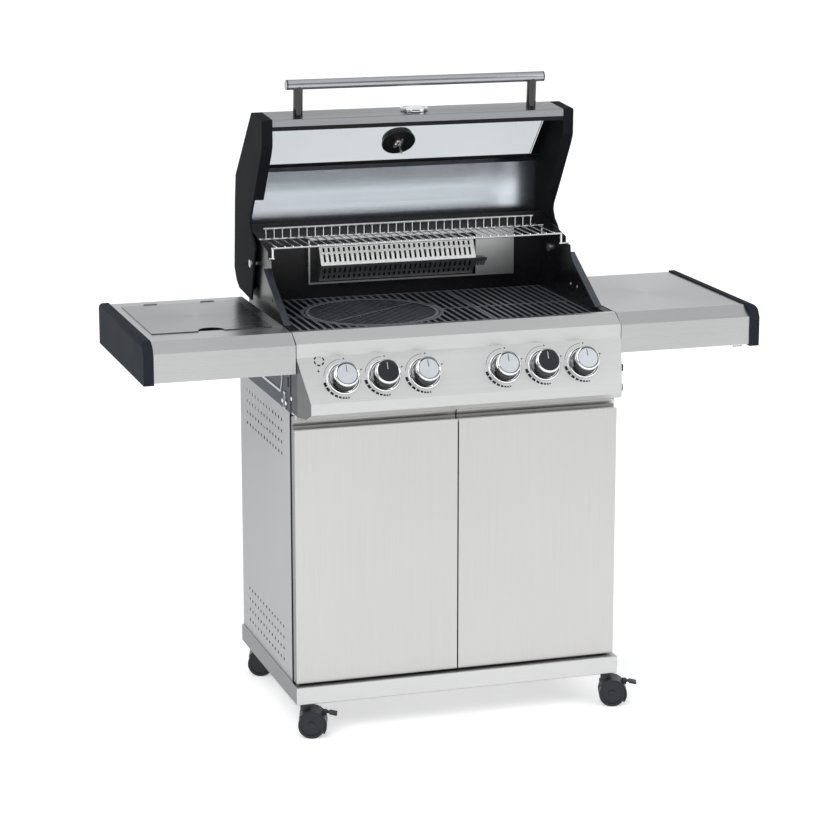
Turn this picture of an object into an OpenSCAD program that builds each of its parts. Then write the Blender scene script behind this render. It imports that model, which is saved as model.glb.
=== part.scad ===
// Four-burner gas barbecue on a two-door cabinet with side tables, lid shown open.
// X runs to the user's right, Y runs from front to back, Z runs up from the floor.

/* [Cabinet] */
// Overall width across the two doors
cabinet_w = 750; // [748:1:752]
// Height of the flat worktop above the floor
worktop_z = 911; // [909:1:913]
// Overall width from one table cap to the other
tables_w = 1418; // [1400:2:1440]
// Depth of the base tray from front to back
base_d = 498; // [494:1:500]

/* [Doors] */
// Height of a door's flat front
door_h = 577; // [572:1:578]
// Gap between the two doors
door_gap = 3; // [2:0.5:5]
// Thickness of a door
door_t = 24; // [23:0.5:25]

/* [Lid] */
// Outside diameter of the handle tube
handle_d = 23; // [18:0.5:26]
// Length of the handle tube
handle_l = 608; // [580:2:640]
// Height of the handle tube's axis above the bar
handle_rise = 71; // [60:1:75]

/* [Controls] */
// Distance between neighbouring knobs
knob_pitch = 92; // [88:1:94]
// Diameter of a knob's skirt
knob_d = 60; // [54:1:64]
// Diameter of a bezel behind a knob
bezel_d = 74; // [70:1:78]

/* [Running gear] */
// Diameter of a caster wheel
wheel_d = 60; // [58:1:61]
// Height of the base tray's lower edge above the floor
base_z = 75; // [74:0.5:78]

/* [Hidden] */
$fn = 48;
far = 2000;                 // longer than the object in every direction
eps = 0.05;                 // how far a cutter reaches past a face
fit = 0.05;                 // radial clearance of a running fit
sheet = 1.5;                // thickness of the sheet steel

// Depths are measured back from the doors' front plane, which stands at this Y.
front_y = -231.902;
cabinet_half = cabinet_w / 2;
deck_z = base_z + 40;
door_z = deck_z + 4;
door_top_z = door_z + door_h;
panel_y = 38;
back_y = base_d - 17;
side_top_z = 729;
edge_lip = 30;

// Hinge axes of the doors
door_axis_x = cabinet_half - 9;
door_axis_y = 20;
door_pin_r = 2.5;
door_pin_l = 12;
grip_top_z = door_top_z + 28;

// Perforations in the side panels
perf_d = 8;
perf_pitch = 25.7;
perf_start_y = 108;

// Firebox
fire_half = 356;
fire_floor_z = 722;
fire_front_y = 30;
fire_back_y = 462;
fire_back_top_z = 1075;
grate_top_z = 897;
grate_t = 12;
grate_y = [38, 456];
grate_split_x = 118;
insert_c = [-122, 253];
insert_r = 152;
insert_turn = 34.6;         // heading of the insert's cross bar, from +X
tray_z = 690;

// Lid: everything is drawn open, and closing turns it about this axis
pivot = [385, 999];
cheek_outer = 368;
cheek_inner = 343;
cheek_plate = 5;
bolt_r = 5;
lid_front = [277, 1337];
lid_back = [373, 1344];
lid_corner = [528, 1183];
lid_rear = [[538, 1122], [552, 963], [533, 936], [507, 921]];
skin_end = [470, 918];
cheek_rim = [[364, 1146], [288, 1259], [278, 1279]];
cheek_foot = [[396, 912], [354, 1037], [367, 1052], [389, 1068], [399, 1086], [396, 1101]];

// Control panel
panel_top_face = [-20, 861];
panel_low_face = [-74, 769];
panel_front = [[30, worktop_z], [15, worktop_z], [-20, 891], panel_top_face, panel_low_face,
    [-74, 745], [-55, 732], [28, 732]];
panel_half = cabinet_half - 1.5;
panel_taper = 18.1;
knob_x = [for (k = [-3, -2, -1, 1, 2, 3]) k * knob_pitch];
face_dir = (panel_low_face - panel_top_face) / norm(panel_low_face - panel_top_face);
face_lean = atan2(panel_top_face[0] - panel_low_face[0], panel_top_face[1] - panel_low_face[1]);
knob_seat = panel_top_face + face_dir * 52;
stem_r = 3;

// Side tables
table_edge = [[14.9, worktop_z], [-19.6, 889], [-19.6, 826], [0, 826]];
table_back_y = 451.5;
table_end = 686.5;
side_cut_x = [-662, -405];
side_cut_y = [88, 400];
side_axis = [408, worktop_z + 2.1];
side_pin_r = 1;
side_barrel_r = 1.9;

// Casters
caster_x = 357;
caster_ys = [-5, 448];
caster_trail = 14;
caster_turn = -17.6;        // heading of the trailing wheels, from +X
hub_half = 6;
wheel_w = 18;
stem_seat_r = 5;
pedal_pin_r = 2;

function unit(v) = v / norm(v);
function left_of(v) = [-v[1], v[0]];
function corner(a, b, c, t) =
    let (n = left_of(unit(b - a)), m = unit(n + left_of(unit(c - b)))) b + m * t / (m * n);
function last(p) = p[len(p) - 1];
// A line of points moved sideways by t, to the left of its direction
function beside(p, t) = concat(
    [p[0] + left_of(unit(p[1] - p[0])) * t],
    [for (i = [1:1:len(p) - 2]) corner(p[i - 1], p[i], p[i + 1], t)],
    [last(p) + left_of(unit(last(p) - p[len(p) - 2])) * t]);
function reversed(p) = [for (i = [len(p) - 1:-1:0]) p[i]];

module from_front() { translate([0, front_y, 0]) children(); }
module strip(p, t) { polygon(concat(p, reversed(beside(p, t)))); }
// Extrudes an outline drawn in depth and height along X
module along_x(x0, x1) {
    translate([x0, 0, 0]) rotate([90, 0, 90]) linear_extrude(x1 - x0) children();
}
module block(x, y, z) {
    translate([x[0], y[0], z[0]]) cube([x[1] - x[0], y[1] - y[0], z[1] - z[0]]);
}
module rod_x(x0, x1, y, z, r) {
    translate([x0, y, z]) rotate([0, 90, 0]) cylinder(r = r, h = x1 - x0);
}
module rod_y(x, y0, y1, z, r) {
    translate([x, y0, z]) rotate([-90, 0, 0]) cylinder(r = r, h = y1 - y0);
}
module mirrored(side) { mirror([side < 0 ? 1 : 0, 0, 0]) children(); }

// ---- Cabinet ----

module base_tray() {
    half = cabinet_half + 5;
    low = [base_z, deck_z];
    color("silver") from_front() difference() {
        union() {
            difference() {
                block([-half, half], [-17, back_y], low);
                block([-half + sheet, half - sheet], [-17 + sheet, back_y - sheet],
                    [base_z - eps, deck_z - sheet]);
            }
            for (x = [-half + sheet, half - sheet - 60], y = [-17 + sheet, back_y - sheet - 60])
                block([x, x + 60], [y, y + 60], [base_z, base_z + 4]);
        }
        for (x = [-caster_x, caster_x], y = caster_ys)
            translate([x, y, base_z - eps]) cylinder(r = stem_seat_r + fit, h = 5);
    }
}

module side_panel(side) {
    color("gainsboro") from_front() mirrored(side) difference() {
        union() {
            block([cabinet_half - sheet, cabinet_half], [panel_y, back_y], [deck_z, side_top_z]);
            block([cabinet_half - edge_lip, cabinet_half - sheet], [panel_y, panel_y + sheet],
                [deck_z, fire_floor_z]);
        }
        for (row = [0:3], hole = [0:12], top = [698, 221])
            translate([cabinet_half - 2 * sheet, perf_start_y + perf_pitch * hole, top - perf_pitch * row])
                rotate([0, 90, 0]) cylinder(d = perf_d, h = 3 * sheet);
    }
}
module left_side_panel() { side_panel(-1); }
module right_side_panel() { side_panel(1); }

module back_panel() {
    inner = cabinet_half - sheet;
    color("gainsboro") from_front() difference() {
        block([-inner, inner], [back_y - sheet, back_y], [deck_z, 630]);
        for (x = [-300:60:300])
            block([x - 20, x + 20], [back_y - 2 * sheet, back_y + sheet], [590, 598]);
    }
}

// A rail behind the doors' tops, with the two brackets that hold the upper pins
module front_frame() {
    inner = cabinet_half - edge_lip;
    color("silver") from_front() {
        block([-inner, inner], [panel_y, panel_y + sheet], [660, fire_floor_z - 1]);
        block([-inner, inner], [panel_y + sheet, panel_y + 20], [660, 660 + sheet]);
        for (s = [-1, 1]) mirrored(s) difference() {
            block([inner - 16, cabinet_half - 2], [door_axis_y - 7, fire_front_y], [728, 731.5]);
            translate([door_axis_x, door_axis_y, 720]) cylinder(r = door_pin_r, h = 20);
        }
    }
}

// Cross-section of a door with the finger groove and rail along its top
module door_section() {
    z = door_top_z;
    polygon([[0, door_z], [door_t, door_z], [door_t, grip_top_z], [21, grip_top_z],
        [16, z + 16], [18.5, z + 6], [17, z - 2], [12, z - 8], [sheet, z - 8], [sheet, z], [0, z]]);
}
module door(side) {
    inner = door_gap / 2;
    outer = cabinet_half;
    color("silver") from_front() mirrored(side) difference() {
        along_x(inner, outer) door_section();
        block([inner + sheet, outer - 20], [sheet, door_t + eps], [door_z + sheet, door_top_z - 20]);
        block([outer - 20 - eps, outer - sheet], [sheet, door_t + eps],
            [door_z + 16, door_top_z - 20]);
        for (z = [door_z - eps, grip_top_z - door_pin_l])
            translate([door_axis_x, door_axis_y, z])
                cylinder(r = door_pin_r + fit, h = door_pin_l + eps);
    }
}
module left_door() { door(-1); }
module right_door() { door(1); }

module door_pins() {
    color("dimgray") from_front()
    for (x = [-door_axis_x, door_axis_x]) translate([x, door_axis_y, 0]) {
        translate([0, 0, deck_z]) cylinder(r = door_pin_r, h = door_pin_l);
        translate([0, 0, deck_z]) cylinder(r = 5, h = 3.5);
        translate([0, 0, grip_top_z - door_pin_l + 2]) cylinder(r = door_pin_r, h = 731.5 - grip_top_z
            + door_pin_l - 2);
    }
}

// ---- Firebox ----

// Height of the sloped side edge at a given depth, just under the closed lid's rim
function slope_z(y) = 925.3 + (y - 116.9) * 0.5417;

module firebox() {
    inner = fire_half - sheet;
    color("#1c1d20") from_front() difference() {
        union() {
            block([-inner, inner], [fire_front_y, fire_front_y + sheet], [fire_floor_z, 909]);
            block([-inner, inner], [fire_back_y - sheet, fire_back_y], [fire_floor_z, fire_back_top_z]);
            block([-inner, inner], [fire_front_y + sheet, fire_back_y - sheet],
                [fire_floor_z, fire_floor_z + sheet]);
            for (y = [fire_front_y + sheet, fire_back_y - sheet - 10])
                block([-inner, inner], [y, y + 10], [grate_top_z - grate_t - sheet,
                    grate_top_z - grate_t]);
            for (s = [-1, 1]) mirrored(s) {
                block([266, 266 + sheet], [72, 450], [tray_z - 1.7, fire_floor_z]);
                block([256, 266], [72, 450], [tray_z - 1.7, tray_z - 0.2]);
            }
        }
        block([-240, 240], [90, 400], [fire_floor_z - 1, fire_floor_z + 5]);
        for (x = [-3, -1, 1, 3])
            rod_y(x * 88, fire_front_y - 1, fire_front_y + 5, 812, 22);
        rod_y(0, fire_back_y - 5, fire_back_y + 5, 1000, 9);
    }
}

module firebox_side(side) {
    low_y = 90.5;
    high_y = 236;
    rail_y = 268;
    plate = cabinet_half - sheet;
    outline = [[fire_front_y, fire_floor_z], [fire_back_y, fire_floor_z],
        [fire_back_y, fire_back_top_z], [284, 1041], [284, 1024], [255, 1027], [250, 1002],
        [high_y, slope_z(high_y)], [low_y, slope_z(low_y)], [fire_front_y, worktop_z]];
    edge = [[rail_y, slope_z(rail_y)], [low_y, slope_z(low_y)], [fire_front_y, worktop_z]];
    color("#2a2c30") from_front() mirrored(side) difference() {
        union() {
            along_x(fire_half - sheet, fire_half) polygon(outline);
            along_x(fire_half, fire_half + 15) strip(edge, sheet);
            block([plate, cabinet_half], [fire_front_y, fire_back_y], [side_top_z, 905]);
            block([fire_half, plate], [fire_front_y, fire_back_y],
                [side_top_z, side_top_z + sheet]);
            block([346, fire_half - sheet], [388, 404], [1024, 1025.6]);
        }
        rod_x(fire_half - 5, fire_half + 5, pivot[0], pivot[1], bolt_r);
        for (y = [206, 247]) rod_x(fire_half - 5, fire_half + 5, y, 937, 4);
    }
}
module left_firebox_side() { firebox_side(-1); }
module right_firebox_side() { firebox_side(1); }

// An open tray that catches the fat and slides out at the back
module drip_tray() {
    x = [-262, 262];
    y = [72, 470];
    color("silver") from_front() {
        difference() {
            block(x, y, [tray_z, tray_z + 28]);
            block([x[0] + sheet, x[1] - sheet], [y[0] + sheet, y[1] - sheet],
                [tray_z + sheet, tray_z + 40]);
            translate([0, 270, tray_z - 1]) cylinder(d = 30, h = 5);
        }
        translate([0, y[1], tray_z + 14]) difference() {
            block([-60, 60], [0, 22], [-3, 3]);
            block([-52, 52], [-1, 16], [-4, 4]);
        }
    }
}

// A cup hung under the tray's hole
module grease_cup() {
    color("lightgray") from_front() translate([0, 270, tray_z - 52]) difference() {
        cylinder(d = 84, h = 52);
        translate([0, 0, sheet]) cylinder(d = 84 - 2 * sheet, h = 60);
    }
}

module burner_tubes() {
    color("darkgray") from_front() for (x = [-3, -1, 1, 3]) {
        difference() {
            rod_y(x * 88, 20, 450, 812, 19);
            rod_y(x * 88, 19, 448, 812, 17.5);
            for (y = [80:40:440], s = [-1, 1])
                translate([x * 88, y, 812]) rotate([0, 70 * s, 0]) cylinder(d = 3, h = 20, $fn = 16);
        }
    }
}

module flame_tamers() {
    roof = [[-52, 0], [0, 34], [52, 0]];
    color("silver") from_front() for (x = [-3, -1, 1, 3])
        translate([x * 88, 459, 836]) rotate([90, 0, 0]) linear_extrude(426) strip(roof, sheet);
}

// ---- Cooking grates ----

module grate_bars(x0, x1) {
    n = round((x1 - x0) / 18.5);
    pitch = (x1 - x0 - 7) / n;
    z = [grate_top_z - grate_t, grate_top_z];
    for (i = [0:n]) block([x0 + pitch * i, x0 + pitch * i + 7], grate_y, z);
    for (y = [grate_y[0], 243, grate_y[1] - 8]) block([x0, x1], [y, y + 8], [z[0], z[1] - 1]);
}
module insert_disc(r, z0, z1) { translate([insert_c[0], insert_c[1], z0]) cylinder(r = r, h = z1 - z0,
    $fn = 96); }

module left_grate() {
    low = grate_top_z - grate_t;
    color("#202124") from_front() {
        difference() {
            grate_bars(-352, grate_split_x - 1);
            insert_disc(insert_r + 3, low - 5, low + 30);
        }
        difference() {
            insert_disc(insert_r + 10, low, grate_top_z);
            insert_disc(insert_r + 2, low + 3, low + 30);
            insert_disc(insert_r - 5, low - 5, low + 30);
        }
    }
}
module right_grate() {
    color("#202124") from_front() grate_bars(grate_split_x + 1, 352);
}
module round_insert() {
    low = grate_top_z - grate_t + 3.2;
    color("#1b1c1f") from_front() {
        difference() {
            insert_disc(insert_r, low, grate_top_z);
            insert_disc(insert_r - 8, low - 1, grate_top_z + 1);
        }
        intersection() {
            insert_disc(insert_r - 7, low, grate_top_z - 1);
            translate([insert_c[0], insert_c[1], low]) rotate([0, 0, insert_turn]) {
                for (k = [-11:11]) block([12.5 * k - 2.2, 12.5 * k + 2.2], [-insert_r, insert_r], [0, 6.5]);
                block([-insert_r, insert_r], [-3.5, 3.5], [0, 7.8]);
            }
        }
    }
}

// Wire shelf with an upstand along its back, standing in the notches of the firebox sides
module warming_rack() {
    z = 1051;
    shift = -5.5;
    half = 343;
    y = [268, 396];
    wire = 1.6;
    wire_pitch = 19.4;
    upright = 1.3;
    upright_x = -331;
    frame_r = 2.4;
    leg_r = 2.2;
    foot_r = 2;
    foot_z = 1028.2;
    color("gainsboro") from_front() {
        for (d = y) rod_x(shift - half - 2.6, shift + half + 2.6, d, z, frame_r);
        for (k = [0:34])
            rod_y(-340.7 + wire_pitch * k, y[0] - 4, y[1] + 4, z + frame_r + wire - 0.8, wire);
        for (k = [0:33])
            translate([upright_x + wire_pitch * k, y[1], z - 1]) cylinder(r = upright, h = 25.5);
        rod_x(upright_x - 6, upright_x + 33 * wire_pitch + 5, y[1], z + 24, frame_r);
        for (s = [-1, 1], d = y) {
            leg = s * (shift + s * half);
            mirrored(s) {
                translate([leg, d, foot_z - 1]) cylinder(r = leg_r, h = z - foot_z + 2);
                rod_x(leg - 4, d == y[0] ? 357 : 352, d, foot_z, foot_r);
            }
        }
    }
}

module back_burner_frame() {
    x = [-218, 285];
    z = [931, 1040];
    y = [fire_back_y - sheet - 16, fire_back_y - sheet];
    color("silver") from_front() difference() {
        block(x, y, z);
        block([x[0] + sheet, x[1] - sheet], [y[0] + sheet, y[1] + 1], [z[0] + sheet, z[1] - sheet]);
        block([x[0] + 4, x[1] - 95], [y[0] - 1, y[0] + 5], [z[0] + 4, z[1] - 6]);
    }
}

// Slatted radiant plate with a ridge along its middle; its lower leaf ends in a comb
module back_burner_baffle() {
    x = [-191, 186];
    comb_x = 214;
    back = fire_back_y - sheet - 6;
    ridge = [430, 976];
    profile = [[back, 1022], ridge, [back, 936]];
    comb_low = [443, ridge[1] - 40 * 13 / (back - ridge[0])];
    slot_z = [[942, 950], [956, 969], [983, 1000], [1005, 1014]];
    color("lightgray") from_front() difference() {
        union() {
            along_x(x[0], x[1]) strip(profile, sheet);
            along_x(x[1], comb_x) strip([ridge, comb_low], sheet);
            for (end = [x[0], x[1] - sheet]) along_x(end, end + sheet)
                polygon(concat(profile, [[fire_back_y - sheet, 936], [fire_back_y - sheet, 1022]]));
        }
        for (k = [0:29], zs = slot_z)
            block([x[0] + 8 + 12.2 * k, x[0] + 13 + 12.2 * k], [ridge[0] - 1, back - 1], zs);
        for (k = [0:3])
            block([x[1] + 4 + 7 * k, x[1] + 7 + 7 * k], [ridge[0] - 1, back], [950, 966]);
    }
}

// ---- Control panel and gas train ----

module taper_ends(inset) {
    for (s = [-1, 1]) mirrored(s)
        translate([panel_half - inset, panel_top_face[0] - 3, 0]) rotate([0, 0, -panel_taper])
            translate([0, -300, 0]) cube([200, 300, far]);
}
module panel_body(w, inset) {
    difference() {
        along_x(-w, w) children();
        taper_ends(inset);
    }
}
module on_face(x) {
    translate([x, knob_seat[0], knob_seat[1]]) rotate([90 - face_lean, 0, 0]) children();
}
module control_panel() {
    inner = beside(panel_front, sheet);
    color("silver") from_front() difference() {
        panel_body(panel_half, 0) polygon(panel_front);
        panel_body(panel_half - sheet, sheet)
            polygon(concat([[40, worktop_z - sheet]], [for (i = [1:6]) inner[i]], [[40, 732 + sheet]]));
        for (x = knob_x) on_face(x) translate([0, 0, -20]) cylinder(r = 8, h = 40);
    }
}

// Supply pipe with six valves, their stems and the inlet for the hose
module gas_manifold() {
    pipe_y = -4;
    pipe_z = knob_seat[1] - 32;
    color("darkgoldenrod") from_front() {
        rod_x(-322, 322, pipe_y, pipe_z, 9);
        rod_x(322, 345, pipe_y, pipe_z, 7);
        for (x = knob_x) on_face(x) {
            translate([-11, -11, -50]) cube([22, 22, 40]);
            translate([0, 0, -12]) cylinder(r = stem_r, h = 31);
        }
    }
}

module knob_bezels() {
    color("lightgray") from_front() for (x = knob_x) on_face(x) difference() {
        cylinder(r1 = bezel_d / 2, r2 = bezel_d / 2 - 2, h = 4);
        translate([0, 0, 2]) cylinder(r = knob_d / 2 + 1.5, h = 4);
        translate([0, 0, -1]) cylinder(r = 8, h = 8);
    }
}

// A knob: skirt, waist and a dished face, on a stem
module knob(x, shade) {
    r = knob_d / 2;
    color(shade) from_front() on_face(x) translate([0, 0, 3]) difference() {
        rotate_extrude($fn = 72) polygon([[0, 0], [r, 0], [r - 1, 10], [r - 3, 14], [r - 2, 16],
            [r - 2, 27], [r - 3.5, 30], [r - 6, 30], [r - 6.5, 28.5], [0, 28.5]]);
        translate([0, 0, -1]) cylinder(r = stem_r + fit, h = 18);
    }
}
module knob_1() { knob(knob_x[0], "silver"); }
module knob_2() { knob(knob_x[1], "#333333"); }
module knob_3() { knob(knob_x[2], "silver"); }
module knob_4() { knob(knob_x[3], "silver"); }
module knob_5() { knob(knob_x[4], "#333333"); }
module knob_6() { knob(knob_x[5], "silver"); }

// ---- Side tables ----

module table_top(x0, x1) {
    outline = concat([[table_back_y - 10, 826], [table_back_y, 826], [table_back_y, worktop_z]],
        table_edge);
    along_x(x0, x1) strip(outline, sheet);
    for (x = [x0, x1 - sheet]) along_x(x, x + sheet)
        polygon([[13, worktop_z - sheet], [table_back_y - sheet, worktop_z - sheet],
            [table_back_y - sheet, 826 + sheet], [-18, 826 + sheet], [-18, 888.3]]);
}
module left_table() {
    color("silver") from_front() difference() {
        table_top(-table_end, -cabinet_half);
        block(side_cut_x, side_cut_y, [worktop_z - 5, worktop_z + 5]);
    }
}
module right_table() {
    color("silver") from_front() table_top(cabinet_half, table_end);
}

// Plastic end cap of a table, following its front profile with a rounded corner
module cap(side) {
    r = 26;
    edge_r = 10;
    depth = tables_w / 2 - table_end;
    top = worktop_z + 3;
    color("#33373d") from_front() mirrored(side) difference() {
        intersection() {
            along_x(table_end, table_end + depth) {
                polygon([[table_back_y + 3, 822], [table_back_y + 3, top], [r - 12, top],
                    [-23, top - r], [-23, 822]]);
                intersection() {
                    translate([r - 14, top - r - 9]) circle(r = r + 9, $fn = 64);
                    translate([-40, worktop_z - 60]) square([60, 63]);
                }
            }
            translate([table_end, 500, 0]) rotate([90, 0, 0]) linear_extrude(550) {
                translate([0, 800]) square([depth, top - edge_r - 800]);
                translate([0, top - edge_r - 1]) square([depth - edge_r, edge_r + 1]);
                translate([depth - edge_r, top - edge_r]) circle(r = edge_r, $fn = 64);
            }
        }
        translate([table_end - 1, -20, 826]) cube([depth - 3, table_back_y + 20, 60]);
    }
}
module left_cap() { cap(-1); }
module right_cap() { cap(1); }

// Four cantilever arms under the tables and a hook for tools
module table_brackets() {
    color("gray") from_front() {
        for (s = [-1, 1], y = [60, 420]) mirrored(s)
            block([cabinet_half + sheet, table_end - sheet], [y, y + sheet], [840, 905]);
        rod_x(652, 672, -10, 821, 1.5);
        for (x = [652, 672]) translate([x, -10, 819.5]) cylinder(r = 1.5, h = 6.5);
    }
}

module side_lid() {
    x = [side_cut_x[0] - 5, side_cut_x[1] + 5];
    y = [82, 405];
    z = worktop_z + 0.4;
    skirt_y = side_cut_y[0] + 31;
    notch_r = 29;
    color("silver") from_front() difference() {
        union() {
            block(x, y, [z, z + sheet]);
            difference() {
                block([side_cut_x[0] + 9, side_cut_x[1] - 9], [skirt_y, side_cut_y[1] - 9],
                    [z - 9, z]);
                block([side_cut_x[0] + 9 + sheet, side_cut_x[1] - 9 - sheet],
                    [skirt_y + sheet, side_cut_y[1] - 9 - sheet], [z - 10, z]);
            }
            for (cx = [-600, -468]) {
                block([cx - 12, cx + 12], [y[1], side_axis[0]], [z, z + sheet]);
                rod_x(cx - 12, cx + 12, side_axis[0], side_axis[1], side_barrel_r);
            }
        }
        for (cx = [-600, -468])
            rod_x(cx - 13, cx + 13, side_axis[0], side_axis[1], side_pin_r + fit);
        translate([-535, y[0] + 2, z - 1]) cylinder(r = notch_r, h = 5);
    }
}

// Fixed hinge forks and pins of the side burner's lid
module side_hinges() {
    color("gray") from_front() for (cx = [-600, -468]) {
        rod_x(cx - 16, cx + 16, side_axis[0], side_axis[1], side_pin_r);
        for (s = [-1, 1]) translate([cx + s * 14 - 1.7, side_axis[0] - 2, worktop_z])
            cube([3.4, 4, 3.7]);
    }
}

module side_burner_bowl() {
    x = [side_cut_x[0] + 6, side_cut_x[1] - 6];
    y = [side_cut_y[0] + 6, side_cut_y[1] - 6];
    color("silver") from_front() difference() {
        block([x[0] - 10, x[1] + 10], [y[0] - 10, y[1] + 10], [845, worktop_z - sheet]);
        block(x, y, [847, worktop_z]);
        block([x[0] - 11, x[0] - sheet], [0, 500], [840, worktop_z - 4]);
        block([x[1] + sheet, x[1] + 11], [0, 500], [840, worktop_z - 4]);
        block([x[0] - 11, x[1] + 11], [0, y[0] - sheet], [840, worktop_z - 4]);
        block([x[0] - 11, x[1] + 11], [y[1] + sheet, 500], [840, worktop_z - 4]);
    }
}

module side_burner_head() {
    color("darkgray") from_front() translate([-533, 244, 847]) difference() {
        union() {
            cylinder(r = 24, h = 14);
            translate([0, 0, 14]) cylinder(r = 34, h = 9);
            translate([0, 0, 23]) cylinder(r = 30, h = 4);
        }
        for (a = [0:15:345]) rotate([0, 0, a]) translate([30, -1, 16]) cube([8, 2, 4]);
    }
}

// Cast ring with four arms that carries a pan over the side burner
module pot_support() {
    color("#1c1d20") from_front() translate([-533, 244, 0]) {
        for (a = [45:90:315]) rotate([0, 0, a]) {
            block([30, 112], [-3, 3], [884, 896]);
            block([106, 112], [-3, 3], [847, 890]);
        }
        translate([0, 0, 882]) difference() {
            cylinder(r = 92, h = 6, $fn = 96);
            translate([0, 0, -1]) cylinder(r = 84, h = 8, $fn = 96);
        }
    }
}

// ---- Lid ----

module cheek(side) {
    outline = concat([lid_front, lid_back, lid_corner], lid_rear, [skin_end], cheek_foot, cheek_rim);
    band = concat([lid_corner, lid_back, lid_front], reversed(cheek_rim));
    color("#25272b") from_front() mirrored(side) difference() {
        union() {
            along_x(cheek_outer - cheek_plate, cheek_outer) polygon(outline);
            along_x(cheek_inner, cheek_outer - cheek_plate) strip(band, 4);
        }
        rod_x(cheek_inner, cheek_outer + 5, pivot[0], pivot[1], bolt_r + fit);
    }
}
module left_cheek() { cheek(-1); }
module right_cheek() { cheek(1); }

skin_half = cheek_outer - cheek_plate;
slope = unit(lid_corner - lid_back);
window_top = lid_back + slope * 8;
window_low = lid_back + slope * 186;

module lid_skin() {
    line = concat([lid_back + slope * 188, lid_corner], lid_rear, [skin_end]);
    color("silver") from_front() along_x(-skin_half, skin_half)
        strip(beside(line, -5), -sheet);
}

module lid_liner() {
    line = [[508, 1188], [517, 1178], [518, 1120], [512, 1060], [504, 1000], [484, 943]];
    color("lightsteelblue") from_front() along_x(-skin_half, skin_half) strip(line, -sheet);
}

module lid_bar() {
    a = lid_front + [0, -16];
    line = [a, lid_front, lid_back, lid_back + slope * 7, lid_back + slope * 7 + [-8, -7]];
    color("silver") from_front() difference() {
        along_x(-cheek_inner, cheek_inner) strip(line, -sheet);
        for (x = [-276, 276]) on_bar(x) translate([0, 0, -20]) cylinder(r = 4, h = 40);
    }
}
module window() {
    color([0.8, 0.9, 0.95, 0.4]) from_front() difference() {
        along_x(-cheek_inner, cheek_inner) strip(beside([window_top, window_low], -4), -5);
        on_window() translate([0, 0, -30]) cylinder(r = 4, h = 60);
    }
}

// A place on the bar's face, with Z along its outward normal
module on_bar(x) {
    dir = lid_back - lid_front;
    mid = lid_front + dir * 0.36;
    translate([x, mid[0], mid[1]]) rotate([atan2(dir[1], dir[0]), 0, 0]) children();
}
// The middle of the window's inner face, with Z pointing out of the lid
module on_window() {
    mid = lid_back + slope * 114;
    translate([0, mid[0], mid[1]]) rotate([atan2(slope[1], slope[0]), 0, 0]) children();
}

module handle_tube() {
    color("dimgray") from_front() on_bar(0) difference() {
        rod_x(-handle_l / 2, handle_l / 2, 0, handle_rise, handle_d / 2);
        rod_x(-handle_l / 2 + 3, handle_l / 2 - 3, 0, handle_rise, handle_d / 2 - 1.5);
    }
}
module handle_posts() {
    color("#1a1b1d") from_front() for (x = [-276, 276]) on_bar(x) difference() {
        union() {
            cylinder(d = 22, h = handle_rise - 4);
            translate([0, 0, -6]) cylinder(r = 4, h = 7);
        }
        rod_x(-30, 30, 0, handle_rise, handle_d / 2);
    }
}

// Bezel outside the glass, dial housing and probe inside it
module thermometer() {
    gap = 0.03;
    color("silver") from_front() on_window() {
        translate([0, 0, -4 + gap]) cylinder(r = 36, h = 8);
        translate([0, 0, -9.5]) cylinder(r = 3.9, h = 6);
        translate([0, 0, -13]) cylinder(r = 39.5, h = 4 - gap);
        translate([0, 0, -44]) cylinder(r = 2.5, h = 32);
    }
}

module hinge_bolts() {
    color("silver") from_front() for (s = [-1, 1]) mirrored(s) {
        rod_x(fire_half - sheet - 4, cheek_outer + 5, pivot[0], pivot[1], bolt_r);
        rod_x(fire_half - sheet - 6, fire_half - sheet, pivot[0], pivot[1], 9);
        rod_x(cheek_outer + 0.3, cheek_outer + 5, pivot[0], pivot[1], 9);
    }
}

// ---- Casters ----

axle_z = wheel_d / 2;
module at_caster(sx, k) {
    from_front() translate([sx * caster_x, caster_ys[k], 0]) rotate([0, 0, caster_turn]) children();
}
module hood(sx, k) {
    r = wheel_d / 2 + 4;
    color("#33373d") at_caster(sx, k) difference() {
        union() {
            translate([0, 0, 60]) cylinder(r = 12, h = base_z - 0.4 - 60);
            translate([0, 0, 60]) cylinder(r = stem_seat_r, h = base_z + 12 - 60);
            translate([caster_trail, 0, axle_z]) rotate([90, 0, 0]) difference() {
                cylinder(r = r, h = 2 * (hub_half + wheel_w) + 4, center = true);
                for (s = [-1, 1]) translate([0, 0, s * (hub_half + 15)])
                    cylinder(r = r - 3, h = 30, center = true);
                rotate([0, 0, -35]) translate([-r - 5, -2 * r, -50]) cube([3 * r, 2 * r, 100]);
            }
            translate([caster_trail, 0, axle_z]) rotate([90, 0, 0])
                cylinder(r = 12, h = 2 * hub_half, center = true);
            if (k == 0) at_pedal() {
                for (s = [-1, 1]) translate([-6, s * 8.5 - 1.5, -6]) cube([9, 3, 9]);
                rotate([90, 0, 0]) cylinder(r = pedal_pin_r, h = 19, center = true);
            }
        }
        translate([caster_trail, 0, axle_z]) rotate([90, 0, 0])
            cylinder(r = 4 + fit, h = 60, center = true);
    }
}
module wheels(sx, k) {
    color("#2b2e33") at_caster(sx, k) translate([caster_trail, 0, axle_z]) rotate([90, 0, 0]) {
        for (s = [-1, 1]) mirror([0, 0, s < 0 ? 1 : 0]) difference() {
            translate([0, 0, hub_half + 0.5]) cylinder(r = wheel_d / 2, h = wheel_w, $fn = 72);
            translate([0, 0, hub_half + wheel_w - 2]) difference() {
                cylinder(r = wheel_d / 2 - 6, h = 5, $fn = 72);
                translate([0, 0, -1]) cylinder(r = 8, h = 7);
            }
        }
        cylinder(r = 4, h = 2 * hub_half + 1.2, center = true);
    }
}
module front_left_hood() { hood(-1, 0); }
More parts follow.
